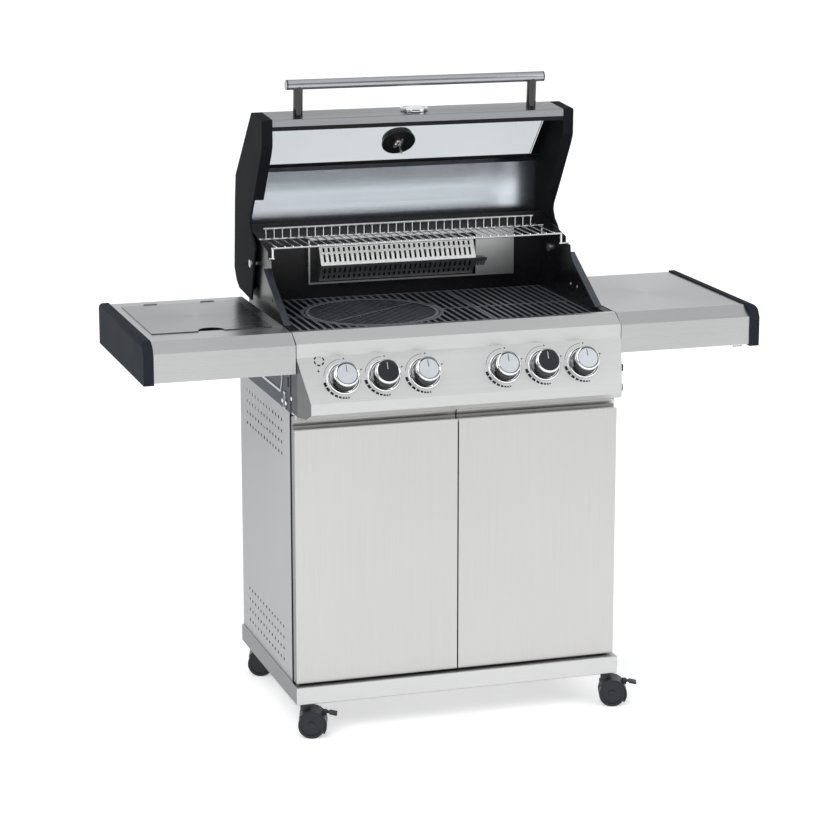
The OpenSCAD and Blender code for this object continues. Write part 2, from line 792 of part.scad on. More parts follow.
module front_right_hood() { hood(1, 0); }
module back_left_hood() { hood(-1, 1); }
module back_right_hood() { hood(1, 1); }
module front_left_wheels() { wheels(-1, 0); }
module front_right_wheels() { wheels(1, 0); }
module back_left_wheels() { wheels(-1, 1); }
module back_right_wheels() { wheels(1, 1); }

module at_pedal() {
    translate([caster_trail + 39.5 * cos(40), 0, axle_z + 39.5 * sin(40)]) children();
}
module brake_pedal(sx) {
    color("#33373d") at_caster(sx, 0) at_pedal() difference() {
        union() {
            rotate([90, 0, 0]) cylinder(r = 4.5, h = 13, center = true);
            rotate([0, 12, 0]) translate([2.6, -6, -1]) cube([12, 12, 3.8]);
            rotate([0, 12, 0]) translate([9, -11, -1.4]) cube([17, 22, 4.6]);
        }
        rotate([90, 0, 0]) cylinder(r = pedal_pin_r + fit, h = 30, center = true);
    }
}
module left_brake_pedal() { brake_pedal(-1); }
module right_brake_pedal() { brake_pedal(1); }

base_tray();
left_side_panel();
right_side_panel();
back_panel();
front_frame();
left_door();
right_door();
door_pins();
firebox();
left_firebox_side();
right_firebox_side();
drip_tray();
grease_cup();
burner_tubes();
flame_tamers();
left_grate();
right_grate();
round_insert();
warming_rack();
back_burner_frame();
back_burner_baffle();
control_panel();
gas_manifold();
knob_bezels();
knob_1();
knob_2();
knob_3();
knob_4();
knob_5();
knob_6();
left_table();
right_table();
left_cap();
right_cap();
table_brackets();
side_lid();
side_hinges();
side_burner_bowl();
side_burner_head();
pot_support();
left_cheek();
right_cheek();
lid_skin();
lid_liner();
lid_bar();
window();
handle_tube();
handle_posts();
thermometer();
hinge_bolts();
front_left_hood();
front_right_hood();
back_left_hood();
back_right_hood();
front_left_wheels();
front_right_wheels();
back_left_wheels();
back_right_wheels();
left_brake_pedal();
right_brake_pedal();
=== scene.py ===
import math
import bpy
import bmesh
from mathutils import Matrix, Vector


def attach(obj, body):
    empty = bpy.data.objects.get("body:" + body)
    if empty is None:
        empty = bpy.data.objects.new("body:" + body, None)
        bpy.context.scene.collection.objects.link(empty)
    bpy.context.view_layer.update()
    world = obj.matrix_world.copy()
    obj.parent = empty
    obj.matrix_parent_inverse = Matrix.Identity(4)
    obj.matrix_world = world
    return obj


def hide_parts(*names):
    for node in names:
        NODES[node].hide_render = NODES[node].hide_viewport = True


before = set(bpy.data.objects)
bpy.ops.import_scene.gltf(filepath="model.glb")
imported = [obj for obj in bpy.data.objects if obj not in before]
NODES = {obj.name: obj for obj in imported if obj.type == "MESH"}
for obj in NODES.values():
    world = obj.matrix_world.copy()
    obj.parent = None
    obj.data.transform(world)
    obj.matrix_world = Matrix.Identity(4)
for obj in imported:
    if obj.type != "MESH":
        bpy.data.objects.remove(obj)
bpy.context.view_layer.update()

FRONT = -0.231902          # Y of the doors' front plane


def depth(mm):
    """Y of a depth in mm, measured back from the doors' front plane."""
    return FRONT + mm / 1000


# ---------------------------------------------------------------- materials

class Nodes:
    """One material and short ways to build its node tree."""

    def __init__(self, name):
        self.mat = bpy.data.materials.new(name)
        self.mat.use_nodes = True
        self.tree = self.mat.node_tree
        self.bsdf = self.tree.nodes["Principled BSDF"]
        self.coord = self.tree.nodes.new("ShaderNodeTexCoord")

    def add(self, kind, **settings):
        n = self.tree.nodes.new(kind)
        for k, v in settings.items():
            setattr(n, k, v)
        return n

    def link(self, a, b):
        self.tree.links.new(a, b)

    def noise(self, stretch, scale=1.0, detail=4.0, rough=0.6):
        m = self.add("ShaderNodeMapping")
        m.inputs["Scale"].default_value = stretch
        self.link(self.coord.outputs["Object"], m.inputs["Vector"])
        t = self.add("ShaderNodeTexNoise")
        t.inputs["Scale"].default_value = scale
        t.inputs["Detail"].default_value = detail
        t.inputs["Roughness"].default_value = rough
        self.link(m.outputs["Vector"], t.inputs["Vector"])
        return t.outputs["Fac"]

    def ramp(self, fac, low, high, a=0.3, b=0.7):
        r = self.add("ShaderNodeValToRGB")
        e = r.color_ramp.elements
        e[0].position, e[1].position = a, b
        e[0].color, e[1].color = (*low, 1), (*high, 1)
        self.link(fac, r.inputs["Fac"])
        return r.outputs["Color"]

    def span(self, fac, lo, hi, a=0.3, b=0.7):
        m = self.add("ShaderNodeMapRange")
        m.inputs["From Min"].default_value = a
        m.inputs["From Max"].default_value = b
        m.inputs["To Min"].default_value = lo
        m.inputs["To Max"].default_value = hi
        self.link(fac, m.inputs["Value"])
        return m.outputs["Result"]

    def bump(self, fac, strength, distance):
        b = self.add("ShaderNodeBump")
        b.inputs["Strength"].default_value = strength
        b.inputs["Distance"].default_value = distance
        self.link(fac, b.inputs["Height"])
        self.link(b.outputs["Normal"], self.bsdf.inputs["Normal"])


def metal(name, low, high, rough, grain, bump=0.06, aniso=0.0, graze=1.0):
    """Brushed or plain metal; grain is how the noise is stretched, small along the brush lines."""
    n = Nodes(name)
    n.bsdf.inputs["Metallic"].default_value = 1.0
    n.bsdf.inputs["Anisotropic"].default_value = aniso
    n.bsdf.inputs["Specular Tint"].default_value = (graze, graze, graze, 1)
    fine = n.noise(grain, 1.0, 5.0, 0.65)
    broad = n.noise((2.5, 2.5, 2.5), 1.0, 2.0, 0.5)
    mix = n.add("ShaderNodeMix", data_type="FLOAT")
    mix.inputs["Factor"].default_value = 0.35
    n.link(fine, mix.inputs["A"])
    n.link(broad, mix.inputs["B"])
    n.link(n.ramp(mix.outputs["Result"], low, high), n.bsdf.inputs["Base Color"])
    n.link(n.span(fine, rough[0], rough[1]), n.bsdf.inputs["Roughness"])
    if bump:
        n.bump(fine, bump, 0.0002)
    return n.mat


def coated(name, low, high, rough, grain_size, bump=0.25, distance=0.0002, coat=0.0, specular=0.5):
    """Paint, enamel, powder coat, cast iron or plastic with a fine all-round texture."""
    n = Nodes(name)
    n.bsdf.inputs["Specular IOR Level"].default_value = specular
    n.bsdf.inputs["Coat Weight"].default_value = coat
    n.bsdf.inputs["Coat Roughness"].default_value = 0.12
    fine = n.noise((1, 1, 1), grain_size, 4.0, 0.6)
    broad = n.noise((1, 1, 1), 6.0, 3.0, 0.5)
    n.link(n.ramp(broad, low, high), n.bsdf.inputs["Base Color"])
    n.link(n.span(broad, rough[0], rough[1]), n.bsdf.inputs["Roughness"])
    n.bump(fine, bump, distance)
    return n.mat


def glazing(name):
    """Clear glass with a faint smear."""
    n = Nodes(name)
    n.bsdf.inputs["Transmission Weight"].default_value = 1.0
    n.bsdf.inputs["IOR"].default_value = 1.08
    smear = n.noise((3, 3, 3), 1.0, 3.0, 0.5)
    n.link(n.ramp(smear, (0.56, 0.585, 0.60), (0.61, 0.635, 0.65)), n.bsdf.inputs["Base Color"])
    n.link(n.span(smear, 0.01, 0.05), n.bsdf.inputs["Roughness"])
    return n.mat


ALONG_X, ALONG_Z, ALL_WAYS = (4, 900, 900), (900, 900, 4), (60, 60, 60)
STEEL = metal("brushed_steel", (0.55, 0.555, 0.555), (0.62, 0.62, 0.615), (0.27, 0.36), ALONG_X, 0.05, 0.3)
TABLE = metal("table_steel", (0.44, 0.443, 0.445), (0.52, 0.522, 0.52), (0.26, 0.34), ALONG_X, 0.05, 0.3)
LID_SHEET = metal("side_lid_steel", (0.265, 0.27, 0.275), (0.315, 0.32, 0.325), (0.22, 0.30), ALONG_X, 0.04,
                  0.3)
# Painted light and shade: the lid bar's steel comes in two copies, a darker one for its top and other faces
# and a lighter one for its front face.
LID_BEAM_PAINTED_SHADE = metal("bar_painted_shade", (0.21, 0.218, 0.23), (0.26, 0.268, 0.28), (0.24, 0.32), ALONG_X, 0.05, 0.3)
LID_BEAM_FRONT_PAINTED_LIGHT = metal("bar_front_painted_light", (0.31, 0.315, 0.33), (0.36, 0.365, 0.38), (0.26, 0.34), ALONG_X, 0.05,
                 0.3)
DOOR = metal("door_steel", (0.51, 0.506, 0.498), (0.57, 0.566, 0.555), (0.28, 0.36), ALONG_Z, 0.04, 0.3)
# Painted shade: the next two are darker copies of the steel for faces that look sideways, the control panel's
# ends and the side faces of the doors and the base tray.
END_FACE_PAINTED_SHADE = metal("steel_end_painted_shade", (0.18, 0.185, 0.19), (0.23, 0.235, 0.24), (0.36, 0.46), ALL_WAYS, 0.03,
            graze=0.35)
SIDE_FACE_PAINTED_SHADE = metal("steel_side_painted_shade", (0.25, 0.255, 0.26), (0.31, 0.315, 0.32), (0.30, 0.40), ALL_WAYS, 0.03,
             graze=0.75)
PLATE = metal("plate_steel", (0.085, 0.095, 0.115), (0.125, 0.135, 0.155), (0.28, 0.38), ALL_WAYS, 0.03,
              graze=0.55)
LINER = metal("liner_steel", (0.70, 0.755, 0.81), (0.76, 0.815, 0.87), (0.19, 0.24), (2, 90, 90), 0.0)
ZINC = metal("galvanised", (0.48, 0.49, 0.50), (0.60, 0.61, 0.62), (0.30, 0.45), ALL_WAYS, 0.05)
RADIANT = metal("radiant_steel", (0.70, 0.70, 0.69), (0.80, 0.80, 0.79), (0.22, 0.34), ALL_WAYS, 0.04)
MESH = metal("radiant_shade", (0.24, 0.245, 0.25), (0.34, 0.345, 0.35), (0.35, 0.50), ALL_WAYS, 0.05)
CHROME = metal("chrome", (0.82, 0.82, 0.83), (0.90, 0.90, 0.91), (0.04, 0.09), ALL_WAYS, 0.0)
TUBE = metal("tube_steel", (0.36, 0.37, 0.39), (0.44, 0.45, 0.47), (0.22, 0.32), ALONG_X, 0.05)
SILVER = metal("knob_silver", (0.56, 0.59, 0.63), (0.63, 0.66, 0.69), (0.30, 0.40), ALL_WAYS, 0.03)
BRASS = metal("brass", (0.56, 0.42, 0.18), (0.68, 0.54, 0.26), (0.25, 0.4), ALL_WAYS, 0.04)
GREY = coated("grey_paint", (0.350, 0.360, 0.370), (0.385, 0.395, 0.405), (0.40, 0.50), 900, 0.10, 0.0001)
ENAMEL = coated("black_enamel", (0.004, 0.004, 0.005), (0.009, 0.009, 0.011), (0.20, 0.32), 160, 0.10,
                0.0003, specular=0.4)
POWDER = coated("black_powder_coat", (0.008, 0.009, 0.011), (0.013, 0.0145, 0.017), (0.60, 0.72), 1100, 0.30,
                0.0002, specular=0.03)
IRON = coated("cast_iron", (0.120, 0.131, 0.148), (0.165, 0.178, 0.198), (0.24, 0.36), 500, 0.35, 0.0003,
              coat=0.4, specular=1.0)
IRON_SHADE = coated("cast_iron_shade", (0.010, 0.011, 0.014), (0.018, 0.020, 0.024), (0.40, 0.55), 500, 0.35,
                    0.0003, specular=0.5)
# Painted highlight: a lighter copy of the cast iron for the insert's rim.
PAINTED_HIGHLIGHT_IRON = coated("cast_iron_painted_highlight", (0.16, 0.175, 0.195), (0.22, 0.235, 0.26), (0.24, 0.36), 500, 0.35,
                  0.0003, coat=0.4, specular=1.0)
PLASTIC = coated("black_plastic", (0.016, 0.019, 0.025), (0.022, 0.026, 0.033), (0.55, 0.68), 1400, 0.25,
                 0.0001, specular=0.03)
CASTER = coated("caster_plastic", (0.016, 0.018, 0.023), (0.024, 0.027, 0.033), (0.34, 0.46), 900, 0.18,
                0.0001, specular=0.3)
GLOSS = coated("gloss_black", (0.004, 0.004, 0.005), (0.008, 0.008, 0.010), (0.08, 0.14), 300, 0.02,
               0.0001, coat=0.6)
DARK_FACE = coated("knob_black", (0.008, 0.009, 0.012), (0.015, 0.017, 0.021), (0.30, 0.40), 900, 0.10,
                   0.0001, specular=0.3)
INK = coated("dial_ink", (0.008, 0.008, 0.008), (0.016, 0.016, 0.016), (0.50, 0.60), 700, 0.05, 0.0001,
             specular=0.2)
# Black rubber and black bolts, and painted shade as well: the side panels' insides, forward edges and hole
# walls, the strip under the lid bar and the side plates' slots.
MATT_BLACK_AND_PAINTED_SHADE = coated("matt_black_and_painted_shade", (0.006, 0.006, 0.007), (0.012, 0.012, 0.014), (0.60, 0.75), 700, 0.2, 0.0002,
                specular=0.2)
DIAL_BACK = metal("dial_back_steel", (0.045, 0.045, 0.047), (0.08, 0.08, 0.083), (0.25, 0.40), ALL_WAYS,
                  0.05)
GLASS = glazing("window_glass")

LOOKS = {
    "base_tray": STEEL, "front_frame": STEEL, "left_door": DOOR, "right_door": DOOR,
    "control_panel": STEEL, "left_table": TABLE, "right_table": TABLE, "side_lid": LID_SHEET,
    "lid_skin": STEEL, "lid_bar": LID_BEAM_PAINTED_SHADE, "side_burner_bowl": STEEL, "lid_liner": LINER,
    "back_burner_frame": STEEL, "back_burner_baffle": RADIANT, "left_side_panel": GREY,
    "right_side_panel": GREY, "back_panel": GREY, "firebox": ENAMEL,
    "left_firebox_side": ENAMEL, "right_firebox_side": ENAMEL, "left_cheek": POWDER,
    "right_cheek": POWDER, "left_grate": IRON, "right_grate": IRON, "round_insert": IRON,
    "pot_support": IRON, "warming_rack": CHROME, "knob_bezels": CHROME, "thermometer": CHROME,
    "left_cap": PLASTIC, "right_cap": PLASTIC, "window": GLASS, "gas_manifold": BRASS,
    "handle_posts": GLOSS, "handle_tube": TUBE, "left_brake_pedal": CASTER,
    "right_brake_pedal": CASTER,
}
BEVELS = {
    "left_door": 0.0022, "right_door": 0.0022, "base_tray": 0.0012, "left_table": 0.0012,
    "right_table": 0.0012, "left_cap": 0.003, "right_cap": 0.003, "left_cheek": 0.0016,
    "right_cheek": 0.0016, "handle_tube": 0.002, "lid_bar": 0.0008,
}


def dress(name, node):
    """A CAD node's material and, where its edges catch the light, a small bevel."""
    mat = LOOKS.get(name)
    if mat is None and name.endswith(("_hood", "_wheels")):
        mat = CASTER
    if mat is None and name.startswith("knob_"):
        mat = DARK_FACE if name in ("knob_2", "knob_5") else SILVER
    node.data.materials.clear()
    node.data.materials.append(mat or ZINC)
    if name in BEVELS:
        weld = node.modifiers.new("weld", "WELD")
        weld.merge_threshold = 0.00001
        bevel = node.modifiers.new("bevel", "BEVEL")
        bevel.width = BEVELS[name]
        bevel.segments = 3
        bevel.limit_method = "ANGLE"
        bevel.angle_limit = math.radians(28)
        bevel.harden_normals = False


for node_name, cad_node in NODES.items():
    dress(node_name, cad_node)


def repaint(name, mat, test):
    """Another material on the faces of a CAD node whose centre and normal pass the test."""
    mesh, place = NODES[name].data, NODES[name].matrix_world
    mesh.materials.append(mat)
    for p in mesh.polygons:
        if test(place @ p.center, p.normal):
            p.material_index = len(mesh.materials) - 1


# The window's slope in the lid: its top edge in depth and height, and the directions along and out of it
WINDOW_TOP = (373, 1344)
WINDOW_ALONG = (0.6935, -0.7204)
WINDOW_OUT = (0.7204, 0.6935)
DIAL_MID = Vector((0, depth(452.06), 1.26187))
DIAL_AXIS = Vector((0, *WINDOW_OUT))
DIAL_TURN = math.radians(-46.1)
DIAL_STEM_R = 0.004        # radius that holds the probe
DIAL_CENTRE_R = 0.02       # radius that holds the probe and its nut

PANEL_INSIDE = 0.3734      # |x| of the side panels' inner face
WALL_INSIDE = 0.3562       # |x| where the firebox sides' outer steel begins
RIDGE_Z = 0.9755           # height of the radiant plate's ridge
HIGHLIGHT_BAND_W = 0.010              # width of the band of painted highlight along the insert's rim
INSERT_MID = Vector((-0.122, depth(253)))


def dial_out(point):
    """How far a point lies outside the window's outer line."""
    return (point - DIAL_MID).dot(DIAL_AXIS)


def dial_off(point):
    """How far a point lies from the dial's axis."""
    return (point - DIAL_MID - DIAL_AXIS * dial_out(point)).length


def in_perforations(point):
    return depth(60) < point.y < depth(400) and point.z > 0.5


def world_points(name):
    place = NODES[name].matrix_world
    return [place @ v.co for v in NODES[name].data.vertices]


for side in ("left", "right"):
    # painted shade: the doors' side faces take the darker side steel
    repaint(f"{side}_door", SIDE_FACE_PAINTED_SHADE, lambda c, n: abs(n.x) > 0.7)
    # painted shade: the side panels' inner faces, their forward-facing edges and the walls of their upper
    # holes are painted black
    repaint(f"{side}_side_panel", MATT_BLACK_AND_PAINTED_SHADE, lambda c, n: abs(c.x) < PANEL_INSIDE or n.y < -0.7
            or abs(n.x) < 0.5 and in_perforations(c))
    repaint(f"{side}_firebox_side", PLATE, lambda c, n: abs(c.x) > WALL_INSIDE)
for grate in ("left_grate", "right_grate", "round_insert"):
    repaint(grate, IRON_SHADE, lambda c, n: abs(n.z) < 0.6)
insert_r = max((p.xy - INSERT_MID).length for p in world_points("round_insert"))
# painted highlight: a band of lighter iron round the top of the insert's rim
repaint("round_insert", PAINTED_HIGHLIGHT_IRON, lambda c, n: n.z > 0.6 and (c.xy - INSERT_MID).length > insert_r - HIGHLIGHT_BAND_W)
# painted light: the lid bar's front face takes the lighter copy of its steel
repaint("lid_bar", LID_BEAM_FRONT_PAINTED_LIGHT, lambda c, n: n.y < -0.7)
# painted shade: the base tray's side faces and the control panel's ends take darker steel
repaint("base_tray", SIDE_FACE_PAINTED_SHADE, lambda c, n: abs(n.x) > 0.7)
repaint("control_panel", END_FACE_PAINTED_SHADE, lambda c, n: abs(n.x) > 0.5)
# painted shade: the baffle's faces below its ridge take a darker copy of the radiant steel
repaint("back_burner_baffle", MESH, lambda c, n: c.z < RIDGE_Z)
repaint("thermometer", DIAL_BACK, lambda c, n: -0.0133 < dial_out(c) < -0.0085
        or dial_off(c) > DIAL_CENTRE_R)
repaint("thermometer", RADIANT, lambda c, n: dial_out(c) < -0.0135 and dial_off(c) < DIAL_STEM_R)


# ---------------------------------------------------------------- mesh tools

def made(name, verts, faces, mat, body, place=None, slot=None, smooth=0.0):
    """A mesh piece that rides on a body, its edges sharp past the smooth angle in degrees if one is given."""
    mesh = bpy.data.meshes.new(name)
    mesh.from_pydata([tuple(v) for v in verts], [], faces)
    if place is not None:
        mesh.transform(place)
    bm = bmesh.new()
    bm.from_mesh(mesh)
    bmesh.ops.recalc_face_normals(bm, faces=bm.faces)
    bm.to_mesh(mesh)
    bm.free()
    mesh.materials.append(mat)
    if smooth:
        mesh.polygons.foreach_set("use_smooth", [True] * len(mesh.polygons))
        mesh.set_sharp_from_angle(angle=math.radians(smooth))
    obj = bpy.data.objects.new(name, mesh)
    bpy.context.scene.collection.objects.link(obj)
    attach(obj, body)
    return obj


def lathe(profile, seg=72):
    """A closed solid of revolution about Z from (radius, height) points, all with radius over 0."""
    verts, faces, n = [], [], len(profile)
    for i in range(seg):
        a = 2 * math.pi * i / seg
        verts += [(r * math.cos(a), r * math.sin(a), z) for r, z in profile]
    for i in range(seg):
        j = (i + 1) % seg
        for k in range(n - 1):
            faces.append((i * n + k, j * n + k, j * n + k + 1, i * n + k + 1))
    faces.append(tuple(i * n for i in range(seg))[::-1])
    faces.append(tuple(i * n + n - 1 for i in range(seg)))
    return verts, faces


def ring(profile, seg=72):
    """A ring of revolution about Z from a closed loop of (radius, height) points."""
    verts, faces, n = [], [], len(profile)
    for i in range(seg):
        a = 2 * math.pi * i / seg
        verts += [(r * math.cos(a), r * math.sin(a), z) for r, z in profile]
    for i in range(seg):
        j = (i + 1) % seg
        for k in range(n):
            m = (k + 1) % n
            faces.append((i * n + k, j * n + k, j * n + m, i * n + m))
    return verts, faces


def prism(outline, z0, z1):
    """A straight solid between two heights on a flat outline."""
    n = len(outline)
    verts = [(x, y, z0) for x, y in outline] + [(x, y, z1) for x, y in outline]
    faces = [tuple(range(n))[::-1], tuple(range(n, 2 * n))]
    faces += [(i, (i + 1) % n, n + (i + 1) % n, n + i) for i in range(n)]
    return verts, faces


def joined(parts):
    """Several (vertices, faces) solids as one."""
    verts, faces = [], []
    for v, f in parts:
        base = len(verts)
        verts += v
        faces += [tuple(i + base for i in face) for face in f]
    return verts, faces


def arc_band(r0, r1, a0, a1, steps=24):
    """A flat outline between two radii and two angles in degrees."""
    ang = [math.radians(a0 + (a1 - a0) * i / steps) for i in range(steps + 1)]
    return ([(r0 * math.cos(a), r0 * math.sin(a)) for a in ang]
            + [(r1 * math.cos(a), r1 * math.sin(a)) for a in reversed(ang)])


# ---------------------------------------------------------------- knobs and dials

PANEL_EDGE = (-20, 861)    # depth and height of the panel's upper front edge
PANEL_RUN = (54, 92)       # how far its face comes forward and goes down
KNOB_DOWN = 52             # the knobs' distance down the face
KNOB_PITCH = 0.092
LEAN = math.atan2(*PANEL_RUN)
SEAT = (PANEL_EDGE[0] - math.sin(LEAN) * KNOB_DOWN, PANEL_EDGE[1] - math.cos(LEAN) * KNOB_DOWN)
KNOB_X = [k * KNOB_PITCH for k in (-3, -2, -1, 1, 2, 3)]
MARK_R = 0.0445            # radius of the dial marks' middle


def on_face(x):
    """The panel's sloped face at x: Z points out of it and Y up along it."""
    return (Matrix.Translation((x, depth(SEAT[0]), SEAT[1] / 1000))
            @ Matrix.Rotation(math.pi / 2 - LEAN, 4, "X"))


# Profiles of a knob and its dish as (radius, height), and its marks as (angle, length mm, width mm)
GRIP = [(0.001, 0.003), (0.0295, 0.003), (0.0300, 0.0036), (0.0296, 0.011), (0.0280, 0.0150),
        (0.0268, 0.0190), (0.0262, 0.0255), (0.001, 0.0255)]
RIM = [(0.0262, 0.0215), (0.0276, 0.0235), (0.0281, 0.0265), (0.0279, 0.0300), (0.0270, 0.0322),
       (0.0256, 0.0330), (0.0243, 0.0326), (0.0236, 0.0312), (0.0236, 0.0215)]
GROOVE = [(0.0236, 0.0240), (0.0236, 0.0308), (0.0222, 0.0308), (0.0222, 0.0240)]
DISC = [(0.001, 0.0240), (0.0223, 0.0240), (0.0223, 0.0312), (0.0219, 0.0317), (0.001, 0.0317)]
BEZEL = [(0.0085, 0.0001), (0.0370, 0.0001), (0.0372, 0.0010), (0.0366, 0.0030), (0.0352, 0.0042),
         (0.0335, 0.0040), (0.0322, 0.0028), (0.0314, 0.0022), (0.0085, 0.0022)]
WEDGES = [(-165, 9.8, 6.4), (-149.5, 9.2, 6.0), (-134, 8.2, 5.4), (-120, 7.0, 4.9),
          (-108.5, 5.8, 4.3), (-99, 4.9, 3.8), (-91, 4.2, 3.4), (-83.5, 3.6, 3.0)]

INK_Z = (0.00005, 0.00018)


def flat(outline):
    """A printed mark on the face."""
    return prism(outline, *INK_Z)


def dial_marks():
    marks = [flat(arc_band(0.0436, 0.0444, 92, 168, 30))]
    for angle, length, width in WEDGES:
        turn, out = math.degrees(length / 2000 / MARK_R), width / 2000
        marks.append(flat(arc_band(MARK_R - out, MARK_R + out, angle - turn, angle + turn, 4)))
    marks.append(flat([(0.0035, 0.0432), (0.0080, 0.0432), (0.0058, 0.0472)]))
    marks.append(flat([(0.0398, 0.0152), (0.0440, 0.0175), (0.0398, 0.0198)]))
    return joined(marks)


def burner_sign(x, y):
    """A ring of six segments, plain sign for a burner."""
    segments = [arc_band(0.0088, 0.0122, a, a + 38, 5) for a in range(0, 360, 60)]
    return [flat([(x + u, y + v) for u, v in segment]) for segment in segments]


def spark_sign(x, y):
    """A four-pointed star, plain sign for the igniter."""
    star = [(0, 0.0047), (0.0010, 0.0010), (0.0040, 0), (0.0010, -0.0010), (0, -0.0047), (-0.0010, -0.0010),
            (-0.0040, 0), (-0.0010, 0.0010)]
    return [flat([(x + u, y + v) for u, v in star])]


def knob(index, x):
    body, at = f"knob_{index}", on_face(x)
    dark = index in (2, 5)
    grip = made(f"knob_grip_{index}", *lathe(GRIP), GLOSS, body, at, "knob_black", 30)
    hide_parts(body)
    made(f"knob_rim_{index}", *ring(RIM), CHROME, body, at, "chrome", 40)
    made(f"knob_groove_{index}", *ring(GROOVE), GLOSS, body, at, "knob_black", 40)
    made(f"knob_disc_{index}", *lathe(DISC), DARK_FACE if dark else SILVER, body, at,
         "knob_black" if dark else "knob_silver", 30)
    pointer = [(-0.0007, 0.004), (0.0007, 0.004), (0.0007, 0.020), (-0.0007, 0.020)]
    made(f"knob_pointer_{index}", *prism(pointer, 0.0316, 0.0320), SILVER if dark else INK, body, at,
         "knob_silver" if dark else "knob_black")
    made(f"dial_marks_{index}", *dial_marks(), INK, "frame", at, "knob_black")
    made(f"bezel_dish_{index}", *ring(BEZEL), CHROME, "frame", at, "chrome", 35)


for number, knob_x in enumerate(KNOB_X, 1):
    knob(number, knob_x)
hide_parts("knob_bezels")
made("ignition_signs", *joined(burner_sign(-0.049, 0.043) + spark_sign(-0.0537, 0.0198)), INK, "frame",
     on_face(KNOB_X[0]), "knob_black")


# ---------------------------------------------------------------- lid

LINER_HALF = 0.3629        # half lengths along X
BEAD_HALF = 0.3625
WINDOW_HALF = 0.3425
LINER_TOP = (507.5, 1188.0)
LINER_DROP = 245
LINER_STEPS = 60
# The liner's lean in degrees at a few fractions of its drop
LINER_LEANS = [(0.0, -15), (0.24, -6), (0.33, -2), (0.60, 7), (0.75, 12), (1.0, 30)]


def bar_between(corners, x0, x1):
    """A straight bar along X whose section is a closed line of (depth, height) in mm."""
    n = len(corners)
    verts = [(x, depth(y), z / 1000) for x in (x0, x1) for y, z in corners]
    faces = [tuple(range(n)), tuple(range(n, 2 * n))[::-1]]
    return verts, faces + [(i, (i + 1) % n, n + (i + 1) % n, n + i) for i in range(n)]


def rod(y, z, r, x0, x1, seg=20):
    """A round rod along X at a depth and height in mm."""
    angles = [2 * math.pi * i / seg for i in range(seg)]
    return bar_between([(y + r * math.cos(a), z + r * math.sin(a)) for a in angles], x0, x1)


def swept(line, thick, x0, x1):
    """A sheet along X: a line of (depth, height) in mm with its thickness towards the back."""
    n, verts = len(line), []
    for x in (x0, x1):
        for extra in (0, thick):
            verts += [(x, depth(y + extra), z / 1000) for y, z in line]
    a, b, c, d = 0, n, 2 * n, 3 * n        # near and far lines at x0, then at x1
    faces = []
    for i in range(n - 1):
        faces += [(a + i, a + i + 1, c + i + 1, c + i), (b + i, d + i, d + i + 1, b + i + 1),
                  (a + i, b + i, b + i + 1, a + i + 1), (c + i, c + i + 1, d + i + 1, d + i)]
    e = n - 1
    return verts, faces + [(a, c, d, b), (a + e, b + e, d + e, c + e)]


def liner_curve():
    """The liner's inner face, its slope changing evenly between the leans."""
    y, z = LINER_TOP
    line, step = [LINER_TOP], LINER_DROP / LINER_STEPS
    for i in range(LINER_STEPS):
        f = (i + 0.5) / LINER_STEPS
        k = max(j for j in range(len(LINER_LEANS) - 1) if LINER_LEANS[j][0] <= f)
        (f0, lean0), (f1, lean1) = LINER_LEANS[k], LINER_LEANS[k + 1]
        y -= math.tan(math.radians(lean0 + (lean1 - lean0) * (f - f0) / (f1 - f0))) * step
        z -= step
        line.append((y, z))
    return line


def on_window(along, up):
    """Depth and height of a point of the window's slope, up being outside the lid."""
    return tuple(WINDOW_TOP[i] + WINDOW_ALONG[i] * along + WINDOW_OUT[i] * up for i in (0, 1))


curve = liner_curve()
liner = made("liner_sheet", *swept(curve, 1.0, -LINER_HALF, LINER_HALF), LINER, "lid", None, "polished_steel",
             30)
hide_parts("lid_liner")
made("liner_top_bead", *rod(500.5, 1198.5, 2.7, -BEAD_HALF, BEAD_HALF), CHROME, "lid", None, "chrome", 40)
low_y, low_z = curve[-1]
made("liner_low_bead", *rod(low_y + 0.6, low_z, 1.2, -BEAD_HALF, BEAD_HALF), CHROME, "lid", None, "chrome",
     40)
low_gasket = [on_window(181, -9.1), on_window(190, -9.1), on_window(190, -12.5), on_window(181, -12.5)]
made("window_low_gasket", *bar_between(low_gasket, -WINDOW_HALF, WINDOW_HALF), MATT_BLACK_AND_PAINTED_SHADE, "lid", None,
     "gloss_black")
fold = [on_window(188, -9.5), (508.5, 1188), (507.5, 1187), on_window(188, -11.5)]
made("liner_fold", *bar_between(fold, -BEAD_HALF, BEAD_HALF), LINER, "lid", None, "polished_steel")
# Painted shade: a black strip under the lid bar's lip, where the bar's underside lies in shade.
shade_strip = [(277.6, 1322), (280.6, 1322), (280.6, 1312), (277.6, 1312)]
made("bar_lip_painted_shade", *bar_between(shade_strip, -WINDOW_HALF, WINDOW_HALF), MATT_BLACK_AND_PAINTED_SHADE, "lid", None, "gloss_black")

BADGE = [(0.001, 0.0), (0.0335, 0.0), (0.0350, 0.0012), (0.0350, 0.0062), (0.0332, 0.0082), (0.0290, 0.0085),
         (0.0270, 0.0070), (0.001, 0.0070)]
BADGE_LEAN = math.radians(4.17)
badge_place = (Matrix.Translation((0, depth(325), 1.3406)) @ Matrix.Rotation(BADGE_LEAN, 4, "X")
               @ Matrix.Diagonal((0.93, 0.72, 0.95, 1)))
made("bar_badge", *lathe(BADGE), CHROME, "lid", badge_place, "chrome", 35)

